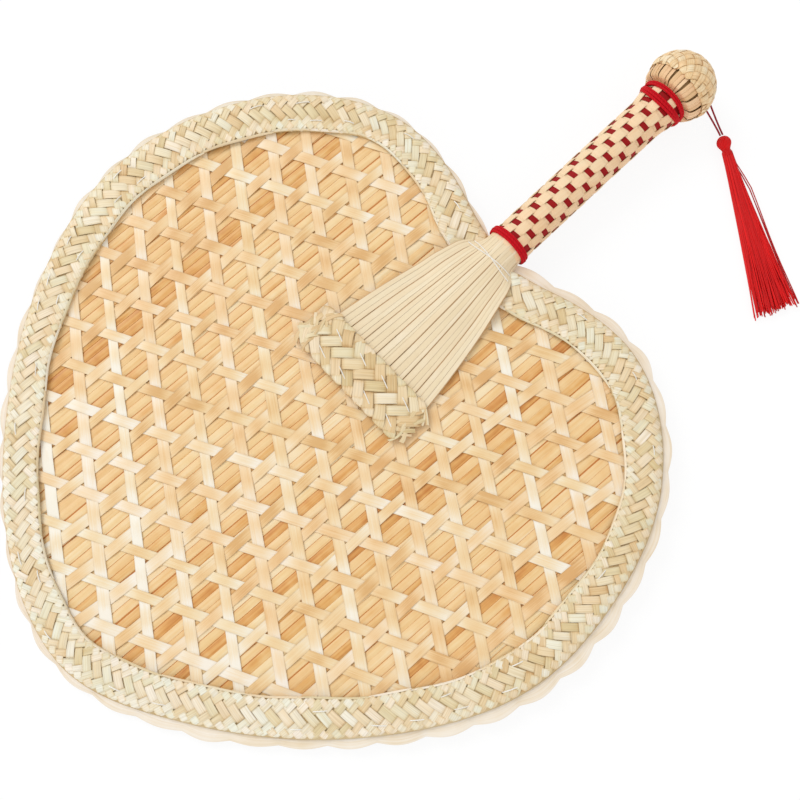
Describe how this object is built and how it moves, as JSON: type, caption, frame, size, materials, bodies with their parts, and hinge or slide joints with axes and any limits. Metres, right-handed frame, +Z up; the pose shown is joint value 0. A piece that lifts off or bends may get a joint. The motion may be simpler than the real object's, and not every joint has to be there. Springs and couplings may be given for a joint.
{
  "type": "woven straw hand fan",
  "caption": "Heart-shaped hand fan: open woven bamboo over straw, plaited rims, a woven palm handle bound in red yarn, a round knob and a red tassel on a loop.",
  "frame": {"origin": "on the surface that the fan lies on, under the middle of the fan without its tassel", "axes": "+Y along the handle from the blade's tip to the knob, +X to the right as the front is seen with the knob at the top, +Z up, out of the front"},
  "size_m": [0.2998, 0.389, 0.0333],
  "materials": {
    "golden_straw": "satin natural straw",
    "pale_bamboo": "satin split bamboo",
    "plaited_straw": "satin plaited straw",
    "palm_strip": "satin palm leaf",
    "knob_straw": "matte woven straw",
    "stick_wood": "bare wood",
    "red_ribbon": "flat red ribbon",
    "red_yarn": "matte red yarn",
    "red_silk": "red silk thread with a soft sheen"
  },
  "bodies": {
    "fan": {"straw_mat": "golden_straw", "front_lattice": "pale_bamboo", "back_lattice": "pale_bamboo", "front_rim_plait": "plaited_straw", "back_rim_plait": "plaited_straw", "handle_stick": "stick_wood", "palm_strip_01": "palm_strip", "palm_strip_02": "palm_strip", "palm_strip_03": "palm_strip", "palm_strip_04": "palm_strip", "palm_strip_05": "palm_strip", "palm_strip_06": "palm_strip", "palm_strip_07": "palm_strip", "palm_strip_08": "palm_strip", "palm_strip_09": "palm_strip", "palm_strip_10": "palm_strip", "palm_strip_11": "palm_strip", "palm_strip_12": "palm_strip", "palm_strip_13": "palm_strip", "red_weft": "red_ribbon", "neck_binding": "red_yarn", "first_top_binding": "red_yarn", "second_top_binding": "red_yarn", "front_skirt_patch": "plaited_straw", "back_skirt_patch": "plaited_straw", "knob_core": "stick_wood", "knob_cap": "knob_straw"},
    "loop": {"tassel_loop": "red_silk"},
    "tassel": {"tassel_head": "red_silk", "tassel_wrap": "red_silk", "tassel_strands": "red_silk"}
  },
  "joints": [
    {"name": "loop_swing", "type": "hinge", "parent": "fan", "child": "loop", "pos_m": [0.01065, 0.18849, 0.00488], "axis": [0, 0, 1], "range_deg": [-25, 90]},
    {"name": "tassel_swing", "type": "hinge", "parent": "loop", "child": "tassel", "pos_m": [0.0282, 0.18214, 0.00335], "axis": [0, 0, 1], "range_deg": [-20, 45]}
  ]
}
